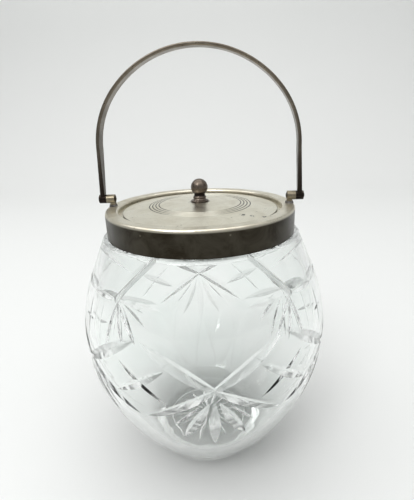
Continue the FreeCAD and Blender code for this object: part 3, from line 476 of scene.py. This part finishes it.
def spun(name, profile, around, low_middle, high_middle):
    """A closed mesh turned about Z from a profile in millimetres, with a point on Z at each end."""
    shape = bmesh.new()
    low = shape.verts.new((0, 0, low_middle * MM))
    rings = []
    for radius, height in profile:
        ring = []
        for index in range(around):
            angle = 2 * math.pi * index / around
            point = (radius * MM * math.cos(angle), radius * MM * math.sin(angle), height * MM)
            ring.append(shape.verts.new(point))
        rings.append(ring)
    high = shape.verts.new((0, 0, high_middle * MM))
    for index in range(around):
        following = (index + 1) % around
        shape.faces.new((low, rings[0][following], rings[0][index]))
        for lower, upper in zip(rings, rings[1:]):
            shape.faces.new((lower[index], lower[following], upper[following], upper[index]))
        shape.faces.new((rings[-1][index], rings[-1][following], high))
    bmesh.ops.recalc_face_normals(shape, faces=shape.faces)
    mesh = bpy.data.meshes.new(name)
    shape.to_mesh(mesh)
    shape.free()
    piece = bpy.data.objects.new(name, mesh)
    bpy.context.scene.collection.objects.link(piece)
    return piece


def on_glass(turn, height):
    """The point of the glass at a turn in degrees from -Y towards +X, and the way out of it."""
    angle = math.radians(turn)
    across = Vector((math.sin(angle), -math.cos(angle), 0))
    lean = glass_radius(height + 0.5) - glass_radius(height - 0.5)
    outward = across - Vector((0, 0, lean))
    return across * glass_radius(height) + Vector((0, 0, height)), outward.normalized()


def wheel_cut(start, middle, end, outward, cut):
    """The solid that a V-edged wheel sweeps, as (points, faces) in millimetres."""
    width, depth = cut
    chord, halfway = end - start, (start + end) / 2
    normal = chord.cross(outward).normalized()
    outward = normal.cross(chord).normalized()
    drop = (middle - halfway).dot(outward) - depth
    if abs(drop) < WHEEL_STRAIGHTEST:
        drop = WHEEL_STRAIGHTEST
    radius = (chord.length_squared / 4 + drop ** 2) / (2 * drop)
    spoke = outward * radius
    centre = halfway + outward * drop - spoke
    opening = depth + WHEEL_MARGIN
    half = width / 2 * opening / depth
    rim = spoke + outward * opening
    section = (spoke, rim + normal * half, rim - normal * half)
    swing = 2 * math.asin(min(WHEEL_OVERRUN * chord.length / 4 / abs(radius), 1.0))
    points, faces = [], []
    for index in range(WHEEL_STEPS + 1):
        turn = Matrix.Rotation(swing * (2 * index / WHEEL_STEPS - 1), 3, normal)
        points += [centre + turn @ corner for corner in section]
    for index in range(WHEEL_STEPS):
        near, far = 3 * index, 3 * index + 3
        for corner in range(3):
            following = (corner + 1) % 3
            faces.append((near + corner, near + following, far + following, far + corner))
    faces += [(2, 1, 0), tuple(3 * WHEEL_STEPS + corner for corner in range(3))]
    return points, faces


def surface_cut(start, end, cut, middle=None):
    """A cut between two places on the glass, each (turn, height): square to it, or by way of a third."""
    first, last = on_glass(*start)[0], on_glass(*end)[0]
    if middle is None:
        middle_point, outward = on_glass((start[0] + end[0]) / 2, (start[1] + end[1]) / 2)
    else:
        middle_point = on_glass(*middle)[0]
        outward = middle_point - (first + last) / 2
    return wheel_cut(first, middle_point, last, outward, cut)


def lattice_and_fan(crossing):
    """A crossing of the lattice: its four cuts, each run on past it, and the five petals under it."""
    reach = 90 / WINDOWS - POINT_GAP
    cuts = [surface_cut((crossing, FAN_START), (crossing, FAN_MID), PETAL)]
    for mirror in (-1, 1):
        for height, cut in ((CREST_HEIGHT, UPPER_CUT), (TROUGH_HEIGHT, LOWER_CUT)):
            past = CROSS_HEIGHT - (height - CROSS_HEIGHT) * CROSS_OVERRUN / reach
            tip = (crossing + mirror * reach, height)
            cuts.append(surface_cut(tip, (crossing - mirror * CROSS_OVERRUN, past), cut))
        side, outer = crossing + mirror * FAN_SIDE[0], crossing + mirror * FAN_OUTER[0]
        side_start, outer_start = crossing + mirror * FAN_SIDE_START, crossing + mirror * FAN_OUTER_START
        cuts.append(surface_cut((side_start, FAN_START), (side, FAN_SIDE[1]), PETAL))
        cuts.append(surface_cut((outer_start, FAN_FINE_START), (outer, FAN_OUTER[1]), FINE))
    return cuts


def cell_and_star(window, mirror):
    """One side of a window: the crossed cuts of its lattice cell, and the star above."""
    middle, reach = window + mirror * 90 / WINDOWS, mirror * CELL_SPREAD
    low, high = CELL_HEIGHT - CELL_RISE, CELL_HEIGHT + CELL_RISE
    star = window + WINDOW_TURN
    place = star + mirror * NODE[0]
    node = (place, NODE[1])
    arm_end = (star + mirror * ARM_END[0], ARM_END[1])
    arm_middle = (
        (place + arm_end[0]) / 2 + mirror * ARM_BOW[0],
        (node[1] + arm_end[1]) / 2 + ARM_BOW[1],
    )
    fine_ends = (middle + mirror * FINE_CUT_OUTER_SPREAD, high), (middle - mirror * FINE_CUT_SPREAD, low)
    cuts = [
        surface_cut((middle - reach, high), (middle + reach, low), LEAF),
        surface_cut(*fine_ends, CELL_FINE),
        surface_cut(node, arm_end, ARM, middle=arm_middle),
        surface_cut(node, (place + mirror * SIDE_LEAF_REACH, SIDE_LEAF_HEIGHT), SIDE_LEAF),
        surface_cut(node, (place - mirror * FAINT_LEAF_REACH, NODE[1]), FAINT_LEAF),
    ]
    for spread, height in RAY_ENDS:
        cuts.append(surface_cut(node, (star + mirror * spread, height), FINE))
    return cuts


def post_and_arch(middle):
    """Between two windows: an upright cut, a short one across it, and the line on the shoulder."""
    return [
        surface_cut((middle, POST_TOP), (middle, POST_BOTTOM), FINE),
        surface_cut((middle - BAR_SPREAD, BAR_HEIGHT), (middle + BAR_SPREAD, BAR_HEIGHT), FINE),
        surface_cut(
            (middle - ARCH_SPREAD, ARCH_END), (middle + ARCH_SPREAD, ARCH_END), ARCH, (middle, ARCH_MIDDLE)
        ),
    ]


def base_star():
    """The rays cut in the base."""
    cuts = []
    base, down = Vector((0, 0, RECESS_DEPTH)), Vector((0, 0, -1))
    reaches = (STAR_INNER, (STAR_INNER + STAR_OUTER) / 2, STAR_OUTER)
    for index in range(STAR_RAYS):
        angle = 2 * math.pi * (index + 0.5) / STAR_RAYS
        ray = Vector((math.cos(angle), math.sin(angle), 0))
        start, middle, end = (base + ray * reach for reach in reaches)
        cuts.append(wheel_cut(start, middle, end, down, STAR_RAY))
    return cuts


def all_cuts():
    """Every cut of the jar: the base, then window by window."""
    cuts = base_star()
    for index in range(WINDOWS):
        window = PATTERN_TURN + 360 / WINDOWS * index
        between = window + 180 / WINDOWS
        cuts += lattice_and_fan(window) + lattice_and_fan(between)
        cuts += post_and_arch(between + WINDOW_TURN)
        for mirror in (-1, 1):
            cuts += cell_and_star(window, mirror)
    return cuts


def cut_glass(jar, material):
    """Takes the wheel cuts out of the glass, and gives their faces the material."""
    wheels = bpy.data.collections.new("wheel cuts")
    bpy.context.scene.collection.children.link(wheels)
    for number, (points, faces) in enumerate(all_cuts()):
        mesh = bpy.data.meshes.new(f"wheel_cut_{number}")
        mesh.from_pydata([point * MM for point in points], [], faces)
        shape = bmesh.new()
        shape.from_mesh(mesh)
        bmesh.ops.recalc_face_normals(shape, faces=shape.faces)
        shape.to_mesh(mesh)
        shape.free()
        mesh.materials.append(material)
        wheels.objects.link(bpy.data.objects.new(mesh.name, mesh))
    boolean = jar.modifiers.new("cutting", "BOOLEAN")
    boolean.operation = "DIFFERENCE"
    boolean.solver = "MANIFOLD"
    boolean.operand_type = "COLLECTION"
    boolean.collection = wheels
    boolean.material_mode = "TRANSFER"
    bpy.context.view_layer.update()
    result = bpy.data.meshes.new_from_object(jar.evaluated_get(bpy.context.evaluated_depsgraph_get()))
    jar.modifiers.clear()
    blank, jar.data = jar.data, result
    bpy.data.meshes.remove(blank)
    for wheel in list(wheels.objects):
        mesh = wheel.data
        bpy.data.objects.remove(wheel)
        bpy.data.meshes.remove(mesh)
    bpy.data.collections.remove(wheels)


def crisp_edges(mesh):
    """Smooth shading, broken at the edges of the cuts and at every corner."""
    shape = bmesh.new()
    shape.from_mesh(mesh)
    for face in shape.faces:
        face.smooth = True
    for edge in shape.edges:
        sides = edge.link_faces
        edge.smooth = (
            len(sides) == 2
            and sides[0].material_index == sides[1].material_index
            and edge.calc_face_angle(math.pi) < SHARP_ANGLE
        )
    shape.to_mesh(mesh)
    shape.free()


# Settings

def colour(name, description, default):
    limits = {"size": 3, "subtype": "COLOR", "min": 0.0, "max": 1.0}
    return FloatVectorProperty(name=name, description=description, default=default, **limits)


def amount(name, description, default, **limits):
    return FloatProperty(name=name, description=description, default=default, **limits)


class JarGlassSettings(PropertyGroup):
    around: IntProperty(
        name="Facets round", description="Facets of the glass round its axis", default=360, min=24
    )
    step: amount("Facet height", "Height of a facet, in millimetres", 1.6, min=0.4)
    tint: colour("Tint", "Colour of the glass where it is thin", (0.985, 0.995, 0.99))
    tint_deep: colour("Deep tint", "Colour of the glass where it is streaky", (0.955, 0.98, 0.97))
    refraction: amount("Refraction", "Refractive index of the glass", 1.52)
    waviness: amount("Waviness", "How uneven the blown surface is", 0.12)
    film: amount("Film", "Roughness that dust and fingers add", 0.05)
    cut_polish: amount("Cut polish", "Roughness of the wheel cuts", 0.15)


class JarMetalSettings(PropertyGroup):
    plate: colour("Plate", "Silver plate where it is whole", (0.80, 0.77, 0.655))
    tarnish: colour("Tarnish", "Silver plate where it is dull", (0.46, 0.42, 0.32))
    rubbed: colour("Rubbed", "Metal where it is scratched or rubbed", (0.78, 0.73, 0.64))
    collar: colour("Collar", "The collar's plate on its top", (0.73, 0.69, 0.575))
    # Painted dark reflection: the near-black colour laid on the collar's band, darker than its top
    band: colour("Collar band", "The dark patina on the collar's band", (0.022, 0.018, 0.012))
    bail: colour("Bail", "The bail's plate", (0.22, 0.19, 0.15))
    bail_tarnish: colour("Bail tarnish", "The bail's plate where it is dull", (0.08, 0.065, 0.05))
    # Painted shade on the bail's legs and edges and on the knob's neck; also the rivets' own dark tarnish
    deep_shade_and_tarnish: colour("Bail's feet", "The dark patina on the bail's lower ends", (0.014, 0.010, 0.009))
    pewter: colour("Dark metal", "Knob and rivets", (0.17, 0.14, 0.115))
    pewter_tarnish: colour("Dark tarnish", "Knob and rivets where they are dull", (0.06, 0.048, 0.038))
    brass: colour("Lugs", "The lugs, where brass shows through", (0.27, 0.235, 0.17))
    cement: colour("Cement", "The bed between the collar and the glass", (0.76, 0.73, 0.66))
    roughness: amount("Roughness", "Roughness of the plate", 0.33, min=0.0, max=1.0)


class JarStageSettings(PropertyGroup):
    floor: colour("Floor", "Colour of the floor and the backdrop", (0.74, 0.75, 0.74))
    key: amount("Key light", "Power of the soft box above", 16.0, unit="POWER")
    spot: amount("Small light", "Power of the small soft box", 4.0, unit="POWER")
    sky: amount("Light overhead", "Strength of the room's light from above", 1.0)
    horizon: amount("Level light", "Strength of the room's level light", 0.35)
    lens: amount("Lens", "Focal length of the camera", 27.29, unit="CAMERA")


# Operators

class JAR_OT_glass(Operator):
    """Make the cut glass jar"""
    bl_idname = "jar.glass"
    bl_label = "Glass jar"

    def execute(self, context):
        glass = context.scene.jar_glass
        profile = glass_profile(glass.step)
        jar = spun("cut_glass_jar", profile, glass.around, RECESS_DEPTH, FLOOR_THICKNESS)
        jar.data.materials.append(glass_material("blown glass", glass, 0.0))
        cut_glass(jar, glass_material("wheel-cut glass", glass, glass.cut_polish))
        crisp_edges(jar.data)
        normals = jar.modifiers.new("even shading", "WEIGHTED_NORMAL")
        normals.weight = GLASS_EVENNESS
        normals.keep_sharp = True
        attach(jar, "jar")
        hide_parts("glass_jar")
        return {"FINISHED"}


class JAR_OT_collar(Operator):
    """Finish the collar and the cement under it"""
    bl_idname = "jar.collar"
    bl_label = "Collar"

    def execute(self, context):
        metal = context.scene.jar_metal
        finish = metal.collar, metal.tarnish, metal.rubbed, metal.roughness
        plate = plate_material("collar plate", *finish, overlay=collar_band_painted_shade, deep=metal.band)
        dress("rim_collar", plate)
        dress("collar_cement", cement_material(metal))
        return {"FINISHED"}


class JAR_OT_lid(Operator):
    """Finish the lid with its knob and fastening"""
    bl_idname = "jar.lid"
    bl_label = "Lid"

    def execute(self, context):
        metal = context.scene.jar_metal
        finish = metal.plate, metal.tarnish, metal.rubbed, metal.roughness
        dress("lid_plate", plate_material("lid plate", *finish, tarnish=LID_TARNISH, overlay=lid_marks_and_painted_shade))
        dress("lid_locating_ring", plate_material("ring plate", *finish))
        finish = metal.pewter, metal.pewter_tarnish, metal.bail, KNOB_ROUGHNESS
        dress("lid_knob", plate_material("knob metal", *finish, overlay=knob_neck_painted_shadow, deep=metal.deep_shade_and_tarnish))
        steel = steel_material()
        for node in ("knob_stud", "knob_washer", "knob_nut"):
            dress(node, steel)
        return {"FINISHED"}


class JAR_OT_hinges(Operator):
    """Finish the lugs, their solder and their rivets"""
    bl_idname = "jar.hinges"
    bl_label = "Hinges"

    def execute(self, context):
        metal = context.scene.jar_metal
        finish = metal.brass, metal.bail_tarnish, metal.tarnish, LUG_ROUGHNESS
        brass = plate_material("lug metal", *finish, turned=False)
        finish = metal.bail_tarnish, metal.deep_shade_and_tarnish, metal.pewter, RIVET_ROUGHNESS
        rivet = plate_material("rivet metal", *finish, turned=False)
        solder = solder_material()
        for side in ("left", "right"):
            dress(f"lug_{side}", brass)
            dress(f"solder_{side}", solder)
            dress(f"pivot_rivet_{side}", rivet)
        return {"FINISHED"}


class JAR_OT_bail(Operator):
    """Finish the bail"""
    bl_idname = "jar.bail"
    bl_label = "Bail"

    def execute(self, context):
        metal = context.scene.jar_metal
        finish = metal.bail, metal.bail_tarnish, metal.tarnish, BAIL_ROUGHNESS
        marks = {"overlay": bail_painted_shade, "deep": metal.deep_shade_and_tarnish}
        dress("bail_handle", plate_material("bail plate", *finish, turned=False, **marks))
        return {"FINISHED"}


def soft_box(name, place, aim, size, power):
    """A square area lamp that looks at a point."""
    lamp = bpy.data.lights.new(name, "AREA")
    lamp.shape = "SQUARE"
    lamp.size = size
    lamp.energy = power
    holder = bpy.data.objects.new(name, lamp)
    holder.location = place
    holder.rotation_euler = (Vector(aim) - Vector(place)).to_track_quat("-Z", "Y").to_euler()
    bpy.context.scene.collection.objects.link(holder)


def sweep_mesh(depth_front, depth_back, half_width, bend, height):
    """A floor that curves up into a backdrop."""
    section = [(-depth_front, 0.0)]
    for index in range(BEND_STEPS + 1):
        angle = math.pi / 2 * index / BEND_STEPS
        section.append((depth_back + bend * math.sin(angle), bend - bend * math.cos(angle)))
    section.append((depth_back + bend, height))
    points, faces = [], []
    for y, z in section:
        points += [(-half_width, y, z), (half_width, y, z)]
    for index in range(len(section) - 1):
        faces.append((2 * index, 2 * index + 1, 2 * index + 3, 2 * index + 2))
    mesh = bpy.data.meshes.new("sweep")
    mesh.from_pydata(points, [], faces)
    for polygon in mesh.polygons:
        polygon.use_smooth = True
    return mesh


def studio_world(stage):
    """White light from all round, stronger overhead than level."""
    world = bpy.data.worlds.new("studio")
    world.use_nodes = True
    nodes, links = world.node_tree.nodes, world.node_tree.links
    parts = nodes.new("ShaderNodeSeparateXYZ")
    links.new(nodes.new("ShaderNodeTexCoord").outputs["Generated"], parts.inputs[0])
    strength = nodes.new("ShaderNodeMapRange")
    strength.interpolation_type = "SMOOTHSTEP"
    strength.inputs["From Max"].default_value = OVERHEAD
    strength.inputs["To Min"].default_value = stage.horizon
    strength.inputs["To Max"].default_value = stage.sky
    background = nodes["Background"]
    background.inputs["Color"].default_value = (1.0, 1.0, 1.0, 1.0)
    links.new(parts.outputs["Z"], strength.inputs["Value"])
    links.new(strength.outputs["Result"], background.inputs["Strength"])
    return world


class JAR_OT_stage(Operator):
    """Make the floor, the lights and the camera"""
    bl_idname = "jar.stage"
    bl_label = "Stage"

    def execute(self, context):
        scene = context.scene
        stage = scene.jar_stage
        sweep = bpy.data.objects.new("sweep", sweep_mesh(**SWEEP))
        sweep.location.z = -SWEEP_DROP
        scene.collection.objects.link(sweep)
        graph = Graph("pale paper")
        grain = graph.noise(graph.place(), 1.2, 4.0)
        low = [value * 0.985 for value in stage.floor]
        graph.set(
            Base_Color=graph.blend(graph.span(grain, 0.3, 0.7), rgb(stage.floor), rgb(low)),
            Roughness=graph.span(grain, 0.3, 0.7, 0.65, 0.75),
        )
        sweep.data.materials.append(graph.material)
        soft_box("soft box above", KEY_PLACE, KEY_AIM, KEY_SIZE, stage.key)
        soft_box("small soft box", SPOT_PLACE, SPOT_AIM, SPOT_SIZE, stage.spot)
        scene.world = studio_world(stage)
        lens = bpy.data.cameras.new("photo camera")
        lens.sensor_width = 36
        lens.sensor_fit = "AUTO"
        lens.lens = stage.lens
        lens.clip_start = 0.01
        camera = bpy.data.objects.new("photo camera", lens)
        camera.matrix_world = camera_place()
        scene.collection.objects.link(camera)
        scene.camera = camera
        scene.view_settings.view_transform = "Standard"
        scene.cycles.max_bounces = 32
        scene.cycles.transmission_bounces = 32
        scene.cycles.glossy_bounces = 24
        return {"FINISHED"}


def camera_place():
    """The camera's place and aim: heading from +Y towards +X, pitch down, and roll, in radians."""
    level = Vector((math.sin(CAMERA_HEADING), math.cos(CAMERA_HEADING), 0))
    forward = level * math.cos(CAMERA_PITCH) - Vector((0, 0, math.sin(CAMERA_PITCH)))
    right = Vector((math.cos(CAMERA_HEADING), -math.sin(CAMERA_HEADING), 0))
    up = right.cross(forward)
    across = right * math.cos(CAMERA_ROLL) + up * math.sin(CAMERA_ROLL)
    upward = up * math.cos(CAMERA_ROLL) - right * math.sin(CAMERA_ROLL)
    return Matrix.Translation(CAMERA_POINT) @ Matrix((across, upward, -forward)).transposed().to_4x4()


class JAR_PT_panel(Panel):
    """The biscuit jar's settings and pieces"""
    bl_idname = "JAR_PT_panel"
    bl_label = "Biscuit jar"
    bl_space_type = "VIEW_3D"
    bl_region_type = "UI"
    bl_category = "Biscuit jar"

    def draw(self, context):
        scene = context.scene
        for group in (scene.jar_glass, scene.jar_metal, scene.jar_stage):
            box = self.layout.box()
            for name in group.bl_rna.properties.keys():
                if name not in ("rna_type", "name"):
                    box.prop(group, name)
        for operator in OPERATORS:
            self.layout.operator(operator.bl_idname)


GROUPS = (JarGlassSettings, JarMetalSettings, JarStageSettings)
OPERATORS = (JAR_OT_glass, JAR_OT_collar, JAR_OT_lid, JAR_OT_hinges, JAR_OT_bail, JAR_OT_stage)


def register():
    for item in (*GROUPS, *OPERATORS, JAR_PT_panel):
        bpy.utils.register_class(item)
    bpy.types.Scene.jar_glass = PointerProperty(type=JarGlassSettings)
    bpy.types.Scene.jar_metal = PointerProperty(type=JarMetalSettings)
    bpy.types.Scene.jar_stage = PointerProperty(type=JarStageSettings)


def unregister():
    for name in ("jar_glass", "jar_metal", "jar_stage"):
        delattr(bpy.types.Scene, name)
    for item in reversed((*GROUPS, *OPERATORS, JAR_PT_panel)):
        bpy.utils.unregister_class(item)


def main():
    register()
    for operator in OPERATORS:
        getattr(bpy.ops.jar, operator.bl_idname.split(".")[1])()


if __name__ == "__main__":
    main()
